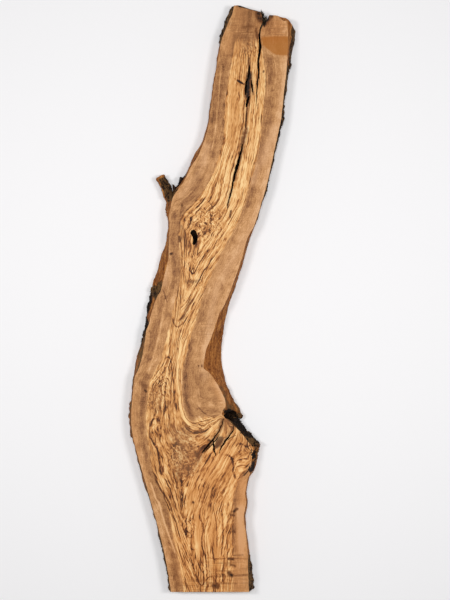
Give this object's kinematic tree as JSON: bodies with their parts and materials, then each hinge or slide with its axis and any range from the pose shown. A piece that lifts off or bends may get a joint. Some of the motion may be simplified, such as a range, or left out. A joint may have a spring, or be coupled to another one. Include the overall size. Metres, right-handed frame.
{
  "type": "olive wood plank",
  "caption": "Live-edge olive plank sawn from a crooked stem, with natural bark edges, a burr, a twig stub, drying cracks and a cleft split end.",
  "frame": {"origin": "under the middle of the plank's box, in the plane of the sawn back face that it lies on", "axes": "+Y along the length, from the square-sawn foot towards the cleft end; +Z out of the show face; +X to the right as the show face is looked at with the foot below"},
  "size_m": [0.4616, 1.6, 0.05],
  "materials": {
    "olive_wood": "planed and oiled satin faces, bark and bare sapwood on the natural edges"
  },
  "bodies": {
    "root": {"plank": "olive_wood"}
  },
  "joints": []
}
